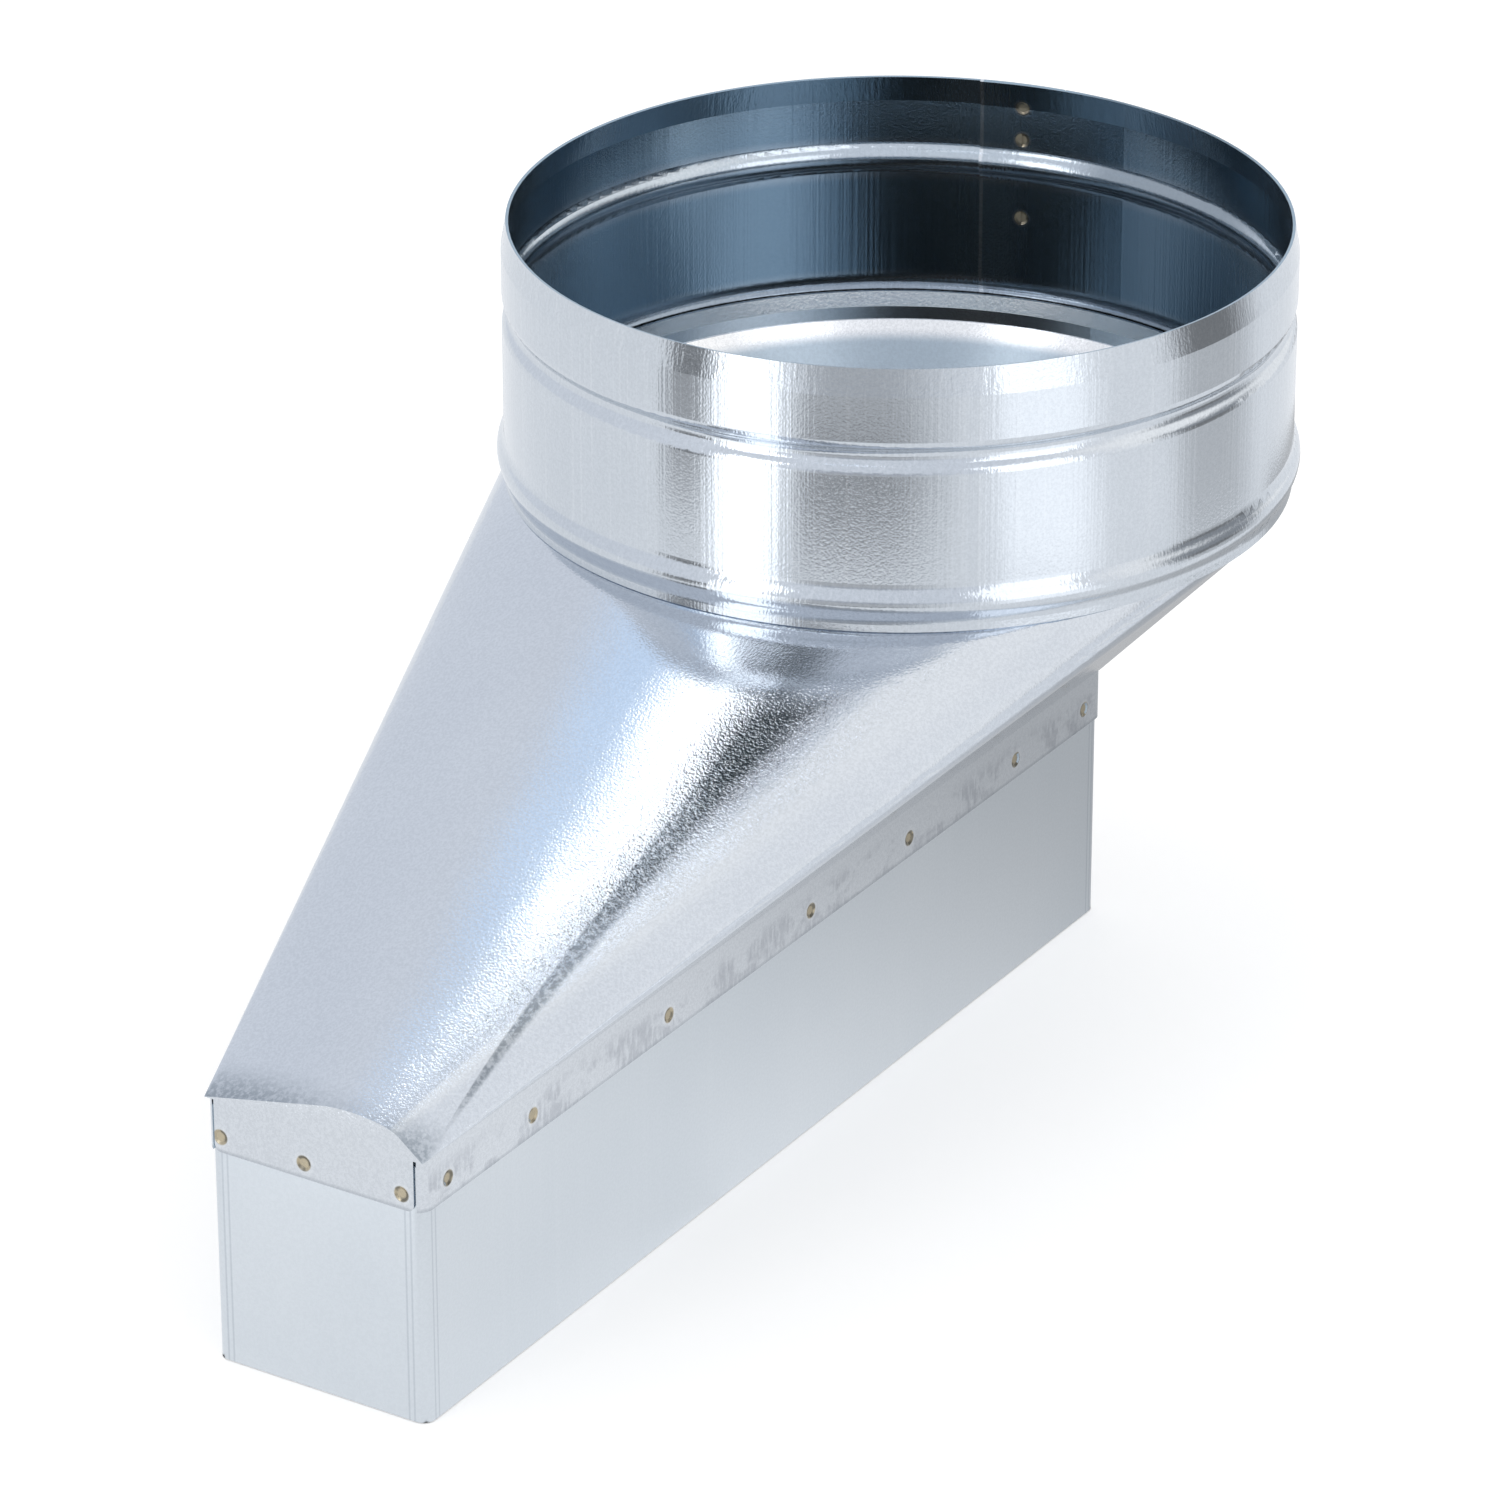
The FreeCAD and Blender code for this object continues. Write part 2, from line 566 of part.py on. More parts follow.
def tab_welds(doc):
    """The dimples of the spot welds that hold the four tabs to the sleeve."""
    dimples = []
    long_span = "(stub_length - 2 * long_weld_margin)"
    short_span = "(stub_width - 2 * short_weld_margin)"
    flanks = (
        ("front", Vector(0, -1, 0), "-half_width + weld_depth"),
        ("back", Vector(0, 1, 0), "half_width - weld_depth"),
    )
    for flank, outward, y in flanks:
        for index, part in enumerate(LONG_SIDE_WELDS):
            x = f"long_weld_margin - stub_length / 2 + {part} * {long_span}"
            z = "tab_edge_level + long_weld_lift"
            dimples.append(dimple(doc, f"weld_{flank}_{index}", outward, x, y, z))
    ends = (
        ("near", Vector(-1, 0, 0), "-half_length + weld_depth"),
        ("far", Vector(1, 0, 0), "half_length - weld_depth"),
    )
    for end, outward, x in ends:
        for index, part in enumerate(SHORT_SIDE_WELDS):
            y = f"short_weld_margin - stub_width / 2 + {part} * {short_span}"
            z = "tab_edge_level + short_weld_lift"
            dimples.append(dimple(doc, f"weld_{end}_{index}", outward, x, y, z))
    return fuse(doc, "tab_welds", dimples)


def swell(foot, radius, turn, wall, outward):
    """The three arcs of a rolled bead or groove that starts at the level foot on the wall, each as
    centre, start angle and end angle, counter-clockwise."""
    side = radius * math.sin(turn)
    depth = 2 * radius * (1 - math.cos(turn))
    if outward:
        away, back = wall + radius, wall + depth - radius
        low = (math.pi - turn, math.pi)
        crest = (-turn, turn)
        high = (math.pi, math.pi + turn)
    else:
        away, back = wall - radius, wall - depth + radius
        low = (0.0, turn)
        crest = (math.pi - turn, math.pi + turn)
        high = (-turn, 0.0)
    centres = (Vector(away, foot), Vector(back, foot + 2 * side), Vector(away, foot + 4 * side))
    return [(centre, *angles) for centre, angles in zip(centres, (low, crest, high))]


def collar_line(doc, sheet):
    """The outer line of the collar's wall, from its lower edge to its rim, in the XZ plane."""
    sketch = doc.addObject("Sketcher::SketchObject", "collar_line")
    sketch.Placement.Rotation = Rotation(Vector(1, 0, 0), 90)
    wall, rise = size(sheet, "collar_radius"), size(sheet, "collar_rise")
    lip, groove = size(sheet, "lip_rise"), size(sheet, "groove_level")
    bead_top = lip + size(sheet, "bead_width")
    groove_top = groove + size(sheet, "groove_width")
    taper_foot = rise - size(sheet, "taper_rise")
    rim = wall - size(sheet, "taper_depth")

    def line(x0, z0, x1, z1):
        return sketch.addGeometry(Part.LineSegment(Vector(x0, z0), Vector(x1, z1)))

    def arcs(foot, name, outward):
        radius = size(sheet, f"{name}_arc")
        turn = math.radians(size(sheet, f"{name}_turn"))
        geometry = []
        for centre, start, end in swell(foot, radius, turn, wall, outward):
            arc = Part.ArcOfCircle(Part.Circle(centre, UP, radius), start, end)
            geometry.append(sketch.addGeometry(arc))
        return geometry

    plain = [line(wall, 0, wall, lip)]
    bead = arcs(lip, "bead", True)
    plain.append(line(wall, bead_top, wall, groove))
    hollow = arcs(groove, "groove", False)
    plain.append(line(wall, groove_top, wall, taper_foot))
    taper = line(wall, taper_foot, rim, rise)

    # each swell leaves and rejoins the wall smoothly; 1 is an arc's first end and 2 its last
    joints = (
        (bead, plain[0], plain[1], (2, 1), (1, 2), (2, 1)),
        (hollow, plain[1], plain[2], (1, 2), (2, 1), (1, 2)),
    )
    for geometry, below, above, low, crest, high in joints:
        sketch.addConstraint(Constraint("Tangent", below, 2, geometry[0], low[0]))
        sketch.addConstraint(Constraint("Tangent", geometry[0], low[1], geometry[1], crest[0]))
        sketch.addConstraint(Constraint("Tangent", geometry[1], crest[1], geometry[2], high[0]))
        sketch.addConstraint(Constraint("Tangent", geometry[2], high[1], above, 1))
        sketch.addConstraint(Constraint("Equal", geometry[0], geometry[1]))
        sketch.addConstraint(Constraint("Equal", geometry[1], geometry[2]))
    sketch.addConstraint(Constraint("Coincident", plain[2], 2, taper, 1))
    for geometry in plain:
        sketch.addConstraint(Constraint("Vertical", geometry))
    limit(sketch, "wall", Constraint("DistanceX", -1, 1, plain[0], 1, wall), "collar_radius")
    sketch.addConstraint(Constraint("PointOnObject", plain[0], 1, -1))
    limit(sketch, "lip", Constraint("DistanceY", plain[0], 1, plain[0], 2, lip), "lip_rise")
    bead_width = Constraint("DistanceY", plain[0], 2, plain[1], 1, bead_top - lip)
    limit(sketch, "bead_width", bead_width, "bead_width")
    bead_radius = Constraint("Radius", bead[0], size(sheet, "bead_arc"))
    limit(sketch, "bead_arc", bead_radius, "bead_arc")
    limit(sketch, "groove_level", Constraint("DistanceY", -1, 1, plain[1], 2, groove), "groove_level")
    groove_width = Constraint("DistanceY", plain[1], 2, plain[2], 1, groove_top - groove)
    limit(sketch, "groove_width", groove_width, "groove_width")
    groove_radius = Constraint("Radius", hollow[0], size(sheet, "groove_arc"))
    limit(sketch, "groove_arc", groove_radius, "groove_arc")
    taper_level = Constraint("DistanceY", -1, 1, taper, 1, taper_foot)
    limit(sketch, "taper_foot", taper_level, "collar_rise - taper_rise")
    limit(sketch, "taper_depth", Constraint("DistanceX", taper, 2, taper, 1, wall - rim), "taper_depth")
    limit(sketch, "rim", Constraint("DistanceY", -1, 1, taper, 2, rise), "collar_rise")
    return sketch


def wall_section(doc, name, line, depth):
    """The face between the collar's outer line and a line this deep inside it."""
    section = doc.addObject("Part::Offset2D", name)
    section.Source = line
    section.Mode = "Skin"
    section.Fill = True
    bind(section, Value=depth)
    return section


def turned(doc, name, section, turn, offset="0"):
    """A section turned about the collar's axis, or about one that lies offset towards -Y."""
    item = doc.addObject("Part::Revolution", name)
    item.Source = section
    item.Axis = UP
    item.Solid = True
    return bind(item, Angle=turn, Base__y=f"-({offset})")


def build_collar(doc, sheet):
    """The collar: a rolled strip with a lead-in at the rim, a groove rolled in and a bead rolled
    out, its ends lapped. The inner end leaves the wall gently and stops one gauge inside it, and
    a fine gap outside shows where the outer end stops. The inner end's lower corner is notched
    away, to leave room in the bead for the form's neck."""
    line = collar_line(doc, sheet)
    section = wall_section(doc, "collar_section", line, "gauge")
    ring = turned(doc, "collar_ring", section, "360")
    inner_end = turned(doc, "collar_inner_end", section, "lap_turn", "lap_offset")
    notch_rise = f"lip_rise + bead_width + {CUT_REACH}"
    beyond = "collar_radius + bead_depth"
    corner = cylinder(doc, "inner_end_notch", beyond, notch_rise, z=f"-{CUT_REACH}")
    inner_end = boolean(doc, "Cut", "collar_inner_end_notched", inner_end, corner)
    notch = wall_section(doc, "outer_end_notch", line, "seam_notch")
    outer_end = turned(doc, "collar_outer_end", notch, "seam_gap / collar_radius * 180 / pi")
    bind(outer_end, Placement__Rotation__Angle="lap_end_turn")

    wall = fuse(doc, "collar_wall", [ring, inner_end])
    gapped = boolean(doc, "Cut", "collar_gapped", wall, outer_end)

    dimples = []
    # the overlap stands this far inside the wall where it is welded
    inset = "lap_offset * sin(lap_weld_turn)"
    for index, drop in enumerate(COLLAR_WELD_DROPS):
        level = f"collar_rise - {drop}"
        lead_in = f"taper_depth * max(0; 1 - {drop} / taper_rise)"
        x = f"collar_radius - {lead_in} - weld_depth"
        dimples.append(dimple(doc, f"collar_weld_out_{index}", Vector(1, 0, 0), x, "0", level))
        x = f"collar_radius - {lead_in} - gauge - {inset} + weld_depth"
        dimples.append(dimple(doc, f"collar_weld_in_{index}", Vector(-1, 0, 0), x, "0", level))
    welds = fuse(doc, "collar_welds", dimples)
    bind(welds, Placement__Rotation__Angle="lap_weld_turn")

    collar = boolean(doc, "Cut", "round_collar", gapped, welds)
    collar.Label = "round_collar"
    place(collar, x="collar_shift", z="collar_foot_level")
    return bind(collar, Placement__Rotation__Angle="lap_start")


def check(doc, pieces):
    """Stop before anything is written if an object failed or a piece isn't one sound solid."""
    for item in doc.Objects:
        if "Invalid" in item.State or "Error" in item.State:
            raise RuntimeError(f"{item.Name} failed: {item.State}")
    for piece in pieces:
        shape = piece.Shape
        if shape.isNull() or not shape.isValid() or len(shape.Solids) != 1:
            raise RuntimeError(f"{piece.Label} isn't one sound solid")


def main():
    doc = FreeCAD.newDocument("duct_adapter")
    sheet = fill_sheet(doc)
    pieces = [build_stub(doc, sheet), build_form(doc, sheet), build_collar(doc, sheet)]
    doc.recompute()
    check(doc, pieces)
    os.makedirs("parts", exist_ok=True)
    for piece in pieces:
        extent = piece.Shape.optimalBoundingBox()
        levels = f"z {extent.ZMin:.2f} to {extent.ZMax:.2f}"
        print(piece.Label, f"{piece.Shape.Volume:.1f} mm3", levels)
        piece.Shape.exportStep(f"parts/{piece.Label}.step")


main()
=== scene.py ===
# %% [markdown]
# This lesson gives a duct adapter its looks. The adapter is made of three sheets of zinc-coated
# steel: a flat sleeve, a sloping form and a round collar. Their shapes are ready and come in as a
# fixed frame, so what is left to do is the camera, the studio and the finish of the metal.

# %% Load the adapter
import math
import bpy
from mathutils import Matrix, Vector

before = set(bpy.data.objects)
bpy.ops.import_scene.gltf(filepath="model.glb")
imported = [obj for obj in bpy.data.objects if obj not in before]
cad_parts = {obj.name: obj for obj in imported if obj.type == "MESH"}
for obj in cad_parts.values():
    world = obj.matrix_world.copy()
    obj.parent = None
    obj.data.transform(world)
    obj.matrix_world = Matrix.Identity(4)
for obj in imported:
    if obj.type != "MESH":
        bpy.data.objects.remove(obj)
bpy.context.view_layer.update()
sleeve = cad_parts["flat_stub"]
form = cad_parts["transition_body"]
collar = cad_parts["round_collar"]
print("pieces:", sorted(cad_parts))

# %% [markdown]
# The camera comes first, because every later choice is judged through it. A long lens far from
# the part keeps its edges nearly parallel, as in a catalogue picture. The camera's three axes
# are given as rows: to the right, up, and back towards the viewer.

# %% Place the camera
RIGHT = Vector((0.530863, -0.847457, -0.000826))
UP = Vector((0.369909, 0.230840, 0.899934))
BACK = Vector((-0.762465, -0.478047, 0.436026))
STANDPOINT = Vector((-1.094741, -0.702762, 0.712065))
scene = bpy.context.scene
lens = bpy.data.cameras.new("catalogue_lens")
lens.sensor_width = 36.0
lens.lens = 177.71
lens.clip_end = 50.0
camera = bpy.data.objects.new("catalogue_camera", lens)
camera_turn = Matrix((RIGHT, UP, BACK)).transposed().to_4x4()
camera.matrix_world = Matrix.Translation(STANDPOINT) @ camera_turn
scene.collection.objects.link(camera)
scene.camera = camera
scene.view_settings.view_transform = "Standard"
print("camera stands", round(STANDPOINT.length, 3), "m from the sleeve's mouth")

# %% [markdown]
# Shader maths reads best as plain arithmetic. A small class wraps one output socket of a node, and
# each operator on it adds a Math node. A second class holds a finish, which is one node tree, and
# adds any other node from its type, its settings and the values or links of its sockets.

# %% Write shader maths as arithmetic
class Signal:
    """One number that varies over a surface; arithmetic on it adds Math nodes."""

    def __init__(self, finish, socket):
        self.finish = finish
        self.socket = socket

    def combine(self, operation, first, second=0.0, clamp=False):
        """Send one or two numbers through a Math node."""
        settings = {"operation": operation, "use_clamp": clamp}
        return self.finish.add("ShaderNodeMath", settings, {0: first, 1: second})

    def __add__(self, other):
        return self.combine("ADD", self, other)

    __radd__ = __add__

    def __mul__(self, other):
        return self.combine("MULTIPLY", self, other)

    __rmul__ = __mul__

    def __sub__(self, other):
        return self.combine("SUBTRACT", self, other)

    def __rsub__(self, other):
        return self.combine("SUBTRACT", other, self)

    def __truediv__(self, other):
        return self.combine("DIVIDE", self, other)

    def __lt__(self, other):
        return self.combine("LESS_THAN", self, other)

    def __gt__(self, other):
        return self.combine("GREATER_THAN", self, other)

    def __abs__(self):
        return self.combine("ABSOLUTE", self)

    def limited(self):
        """The number cut off below 0 and above 1."""
        return self.combine("ADD", self, 0.0, clamp=True)


class Finish:
    """A material or world as a node tree that is built up call by call."""

    def __init__(self, owner):
        self.owner = owner
        owner.use_nodes = True
        self.tree = owner.node_tree
        self.tree.nodes.clear()

    def add(self, kind, settings=None, sockets=None, out=0):
        """Add a node, set it up and return one of its outputs."""
        node = self.tree.nodes.new(kind)
        for name, value in (settings or {}).items():
            setattr(node, name, value)
        for name, value in (sockets or {}).items():
            socket = node.inputs[name]
            if isinstance(value, Signal):
                self.tree.links.new(value.socket, socket)
            else:
                socket.default_value = value
        return Signal(self, node.outputs[out])

    def shade(self, share, first, second):
        """Mix two colours."""
        sockets = {0: share, 6: first, 7: second}
        return self.add("ShaderNodeMix", {"data_type": "RGBA"}, sockets, out=2)

    def span(self, value, low, high):
        """0 where the signal is at low and 1 where it is at high, with a soft way between."""
        settings = {"interpolation_type": "SMOOTHSTEP"}
        return self.add("ShaderNodeMapRange", settings, {0: value, 1: low, 2: high})

    def band(self, value, start, full, fade, end):
        """1 where the signal is between full and fade, falling softly to 0 at start and end."""
        return self.span(value, start, full) * self.span(value, end, fade)

    def grain(self, place, scale, detail=2.0, roughness=0.5):
        """Noise between 0 and 1, with patches about 1 / scale metres wide."""
        sockets = {"Vector": place, "Scale": scale, "Detail": detail, "Roughness": roughness}
        return self.add("ShaderNodeTexNoise", {"normalize": True}, sockets)

    def drawn_grain(self, place, scale, detail=2.0, roughness=0.5):
        """Noise with a scale for each axis, so that marks grow long the way of a small number."""
        drawn = self.vector("MULTIPLY", place, scale)
        return self.grain(drawn, 1.0, detail, roughness)

    def vector(self, operation, first, second, out=0):
        """A sum on two vectors; out 1 is its result where that is a number."""
        sockets = {0: first, 1: second}
        return self.add("ShaderNodeVectorMath", {"operation": operation}, sockets, out)

    def place(self):
        """A point's place in the adapter's own frame, in metres."""
        return self.add("ShaderNodeTexCoord", out="Object")

    def axis(self, place, index):
        """One of a vector's three numbers: 0 is x, 1 is y and 2 is z."""
        return self.add("ShaderNodeSeparateXYZ", None, {0: place}, out=index)

    def bearing(self, place, start):
        """The bearing of a point round the z axis, in degrees from a starting bearing."""
        turned = math.radians(start)
        forward = (math.cos(turned), math.sin(turned), 0.0)
        sideways = (-math.sin(turned), math.cos(turned), 0.0)
        ahead = self.vector("DOT_PRODUCT", place, forward, out=1)
        beside = self.vector("DOT_PRODUCT", place, sideways, out=1)
        return beside.combine("ARCTAN2", beside, ahead) * math.degrees(1.0)

    def ray(self, kind):
        """1 for rays of one kind, such as those that come by way of a mirror."""
        return self.add("ShaderNodeLightPath", out=f"Is {kind} Ray")

    def show(self, shader, target="ShaderNodeOutputMaterial"):
        """Send a shader to the output of the whole tree."""
        output = self.tree.nodes.new(target)
        self.tree.links.new(shader.socket, output.inputs["Surface"])


# %% [markdown]
# Marks on the metal are placed by the adapter's own sizes, in metres. The sleeve stands on the
# floor, the form starts at the fold, and the collar's axis stands well to one side of the middle.

# %% Note the adapter's sizes
SLEEVE_END, SLEEVE_SIDE = 0.125, 0.024
TAB_END, TAB_SIDE = 0.1256, 0.0246
TAB_EDGE = 0.0450
FOLD_LEVEL, FORM_RISE, SIDE_RUN = 0.0558, 0.0557, 0.0533
COLLAR_SHIFT, COLLAR_INSIDE = 0.0825, 0.0788
COLLAR_AXIS = (COLLAR_SHIFT, 0.0, 0.0)
print("form from", FOLD_LEVEL, "to", round(FOLD_LEVEL + FORM_RISE, 4), "m over the floor")

# %% [markdown]
# Spot welds hold the sheets together. Each is a small dimple that the shape has already, but the
# heat also left a mark: a tan centre, a dark edge and a pale ring. So the finish needs the places
# of all welds, and how far a point is from the nearest one.

# %% List the spot welds
LONG_WELD_REACH, LONG_WELD_LEVEL = 0.1175, 0.0492
SHORT_WELD_REACH, SHORT_WELD_LEVEL = 0.021, 0.0482
long_side = [(2 * part - 1) * LONG_WELD_REACH for part in (0.0, 0.12, 0.32, 0.54, 0.7, 0.88, 1.0)]
short_side = [(2 * part - 1) * SHORT_WELD_REACH for part in (0.03, 0.55, 1.0)]
form_welds = [(x, side * TAB_SIDE, LONG_WELD_LEVEL) for side in (-1, 1) for x in long_side]
form_welds += [(side * TAB_END, y, SHORT_WELD_LEVEL) for side in (-1, 1) for y in short_side]
BACK_SEAM = 0.086
for part in (0.14, 0.45, 0.76):
    up_the_slope = (BACK_SEAM, TAB_SIDE + SIDE_RUN * part, FOLD_LEVEL + FORM_RISE * part)
    form_welds.append(up_the_slope)
WELD_BEARING = math.radians(12.0)
weld_x = COLLAR_SHIFT + COLLAR_INSIDE * math.cos(WELD_BEARING)
weld_y = COLLAR_INSIDE * math.sin(WELD_BEARING)
collar_welds = [(weld_x, weld_y, z) for z in (0.1606, 0.1534, 0.136)]
sleeve_welds = [(0.0035, 0.0237, z) for z in (0.009, 0.034)]
print("welds:", len(form_welds), "in the form,", len(collar_welds), "in the collar")

# %% [markdown]
# Zinc-coated sheet is a bright blue-grey metal. Three things make it look real: a colour that
# drifts softly over the sheet, a fine crystal grain that breaks reflections into specks, and a
# surface that is never quite flat, so that reflections bend a little. Noise gives all three, since
# no two sheets are alike. The inside mirrors only itself, and light fades with each bounce, so its
# faces are toned down to the blue-black that the eye sees there.

# %% Make the zinc
WHITE_RING = (0.86, 0.88, 0.90, 1)
WELD_TAN = (0.52, 0.45, 0.32, 1)
WELD_DARK = (0.10, 0.10, 0.09, 1)
FLECK = (0.16, 0.18, 0.21, 1)
NAVY = (0.355, 0.465, 0.55, 1)
DRIFT, WAVE, SCORCH, FLECKS, SPECKS = 16.0, 22.0, 420.0, 1500.0, 1900.0
WAVE_HEIGHT, SPECK_SHEEN, RELIEF_DEPTH, QUARTER_TURN = 0.25, 0.06, 0.001, 0.25
NEARLY_UPRIGHT, FACES_IN = 0.03, -0.002
RING_EDGE, TAN_EDGE, DULL_EDGE = (0.0026, 0.0019), (0.0018, 0.0014), (0.0017, 0.0013)
SCORCHED_RIM = (0.0007, 0.0012, 0.0014, 0.0018)


class Zinc(Finish):
    """The finish of one sheet. Marks are laid over its colour and height one after another."""

    def __init__(self, name, pale, dark):
        super().__init__(bpy.data.materials.new(name))
        self.spot = self.place()
        self.x, self.y, self.z = (self.axis(self.spot, index) for index in range(3))
        drift = self.span(self.grain(self.spot, DRIFT, 3.0), 0.3, 0.7)
        self.colour = self.shade(drift, dark, pale)
        self.specks = self.grain(self.spot, SPECKS, 1.0, 0.6)
        self.height = self.grain(self.spot, WAVE, 1.0) * WAVE_HEIGHT
        self.flecks = self.span(self.grain(self.spot, FLECKS, 2.0, 0.8), 0.36, 0.64)
        self.dull = (self.specks - 0.5) * SPECK_SHEEN

    def paint(self, share, colour):
        """Lay a colour over the sheet; where share is 1, nothing below it shows."""
        self.colour = self.shade(share, self.colour, colour)

    def facing(self):
        """The way a face looks, before any bump."""
        return self.add("ShaderNodeNewGeometry", out="True Normal")

    def inside(self):
        """1 on faces that look in on the air way, 0 on those that look out."""
        facing = self.facing()
        lean = ((self.z - FOLD_LEVEL) * (1 / FORM_RISE)).limited() * COLLAR_SHIFT
        inward = self.axis(facing, 0) * (self.x - lean) + self.axis(facing, 1) * self.y
        return inward < FACES_IN

    def upright(self):
        """1 on faces that stand upright."""
        return abs(self.axis(self.facing(), 2)) < NEARLY_UPRIGHT

    def weld_marks(self, welds):
        """Lay the marks of the welds, and return how far a point is from the nearest weld."""
        near = None
        for weld in welds:
            far = self.vector("DISTANCE", self.spot, weld, out=1)
            near = near.combine("MINIMUM", near, far) if near else far
        scorch = self.span(self.grain(self.spot, SCORCH, 1.0), 0.42, 0.58)
        self.paint(self.span(near, *RING_EDGE) * 0.35, WHITE_RING)
        self.paint(self.span(near, *TAN_EDGE), WELD_TAN)
        self.paint(self.band(near, *SCORCHED_RIM) * scorch * 0.75, WELD_DARK)
        self.dull = self.dull + self.span(near, *DULL_EDGE) * 0.25
        return near

    def done(self, roughness, grain, flecked, brushed=0.0):
        """Join colour, dullness and height in one metal, and return the material."""
        self.paint(self.flecks * flecked, FLECK)
        height = self.height + self.specks * grain
        relief = {"Strength": 1.0, "Distance": RELIEF_DEPTH, "Height": height}
        sockets = {"Base Color": self.colour, "Metallic": 1.0}
        sockets["Roughness"] = self.dull + roughness
        sockets["Normal"] = self.add("ShaderNodeBump", None, relief)
        if brushed:
            sockets["Anisotropic"] = brushed
            sockets["Anisotropic Rotation"] = QUARTER_TURN
        self.show(self.add("ShaderNodeBsdfPrincipled", None, sockets))
        return self.owner


# %% [markdown]
# The sleeve is the calmest sheet. It was folded in a brake, which left two fine lines beside each
# corner. They are a change of tone and no groove, so they are drawn at their distance from the
# corner. Its upright rolling marks can hardly be seen.

# %% Finish the sleeve
BRAKE_LINE = (0.38, 0.42, 0.47, 1)
FAINT_MARK = (0.86, 0.89, 0.92, 1)
LINE_PLACES, LINE_STEPS = (0.0028, 0.0040), (-0.0003, -0.0001, 0.0001, 0.0003)
SLEEVE_ROLLING = (400.0, 400.0, 8.0)
metal = Zinc("sleeve_zinc", (0.735, 0.775, 0.81, 1), (0.69, 0.735, 0.775, 1))
for from_corner in (SLEEVE_END - abs(metal.x), SLEEVE_SIDE - abs(metal.y)):
    for place in LINE_PLACES:
        edges = [place + step for step in LINE_STEPS]
        metal.paint(metal.band(from_corner, *edges) * 0.35, BRAKE_LINE)
rolling = metal.drawn_grain(metal.spot, SLEEVE_ROLLING)
metal.paint(metal.span(rolling, 0.5, 0.8) * 0.05, FAINT_MARK)
metal.weld_marks(sleeve_welds)
metal.paint(metal.inside(), NAVY)
sleeve.material_slots[0].material = metal.done(roughness=0.30, grain=0.004, flecked=0.05)
print("sleeve:", len(metal.tree.nodes), "nodes")

# %% [markdown]
# The form was rolled and beaten, so its crystals show most. Along the fold of the end tabs a dark
# band of painted shade lies on the slopes, and a painted dark reflection runs as a line up the near
# corner beside its ridge. Both are painted by place, with crystals of noise in them. Seen from
# above, the line is a narrow fan that starts at the corner and bends a little. So a point's
# distance out from the long side is divided by its distance from the near end.

# %% Finish the form
FOLD_SHADE = (0.28, 0.32, 0.36, 1)
REFLECTION_DARK = (0.20, 0.23, 0.26, 1)
TAB_PAINTED_LIGHT = (0.74, 0.765, 0.79, 1)
CRYSTALS = 900.0
FOLD_ENDS, FOLD_SIDES, FOLD_HEIGHT = (0.116, 0.1254), (0.026, 0.024), (0.065, 0.058)
LINE_BEND, LINE_WIDTH = 0.2, (-0.012, 0.006, 0.044, 0.082)
LINE_START, LINE_END = (0.003, 0.018), (0.130, 0.095)
metal = Zinc("form_zinc", (0.69, 0.73, 0.78, 1), (0.65, 0.69, 0.745, 1))
tab = metal.upright()
slope = 1 - tab
crystals = metal.span(metal.grain(metal.spot, CRYSTALS, 2.0, 0.7), 0.38, 0.60)
# Painted shade: a dark band on the end slopes just over the fold, with crystals of noise in it.
fold_shade = metal.span(abs(metal.x), *FOLD_ENDS) * slope * metal.span(abs(metal.y), *FOLD_SIDES)
fold_shade = fold_shade * metal.span(metal.z, *FOLD_HEIGHT)
metal.paint(fold_shade * (0.40 + crystals * 0.45), FOLD_SHADE)
# Painted light: the upright tabs are painted paler than the slopes.
metal.paint(tab * 0.6, TAB_PAINTED_LIGHT)
from_end = metal.x + SLEEVE_END
spread = (-TAB_SIDE - metal.y) / from_end - from_end * LINE_BEND
# Painted dark reflection: a speckled dark line up the near cone beside its ridge.
dark_reflection = metal.band(spread, *LINE_WIDTH) * slope
dark_reflection = dark_reflection * metal.span(from_end, *LINE_START) * metal.span(from_end, *LINE_END)
metal.paint(dark_reflection * (0.45 + crystals * 0.4), REFLECTION_DARK)

# %% [markdown]
# The welding smudged the zinc on the long tabs. Two noises give that when they are multiplied: one
# for the blotches and one, drawn out, for the short upright streaks in them. Along the tabs' lower
# edge a thin painted shadow lies where they meet the sleeve. Inside, the slopes are painted a deep
# blue-grey shade, and the neck that reaches up into the collar is painted bright as a highlight, so
# that it mirrors the studio as bright and dark rings.

# %% Add the form's smudges and its inside
SMUDGE = (0.44, 0.46, 0.50, 1)
EDGE_SHADOW = (0.36, 0.39, 0.43, 1)
INSIDE_SHADE = (0.48, 0.56, 0.63, 1)
NECK_HIGHLIGHT = (0.98, 0.98, 0.98, 1)
NECK_START, SMUDGE_TOP, TAB_SKIN = (0.107, 0.110), (0.0545, 0.050), 0.0002
BLOTCHES, STREAKS = (75.0, 75.0, 120.0), (900.0, 900.0, 220.0)
blotch = metal.drawn_grain(metal.spot, BLOTCHES, 3.0, 0.6)
streak = metal.drawn_grain(metal.spot, STREAKS)
low = metal.span(metal.z, *SMUDGE_TOP) * (abs(metal.y) > TAB_SIDE - TAB_SKIN)
smudge = metal.span(blotch, 0.46, 0.58) * metal.span(streak, 0.3, 0.6) * low
metal.paint(tab * smudge * 0.6, SMUDGE)
# Painted shadow: a thin dark line along the tabs' lower edge.
metal.paint(metal.span(metal.z, TAB_EDGE + 0.0010, TAB_EDGE + 0.0002) * 0.45, EDGE_SHADOW)
metal.weld_marks(form_welds)
neck = metal.span(metal.z, *NECK_START)
inside = metal.inside()
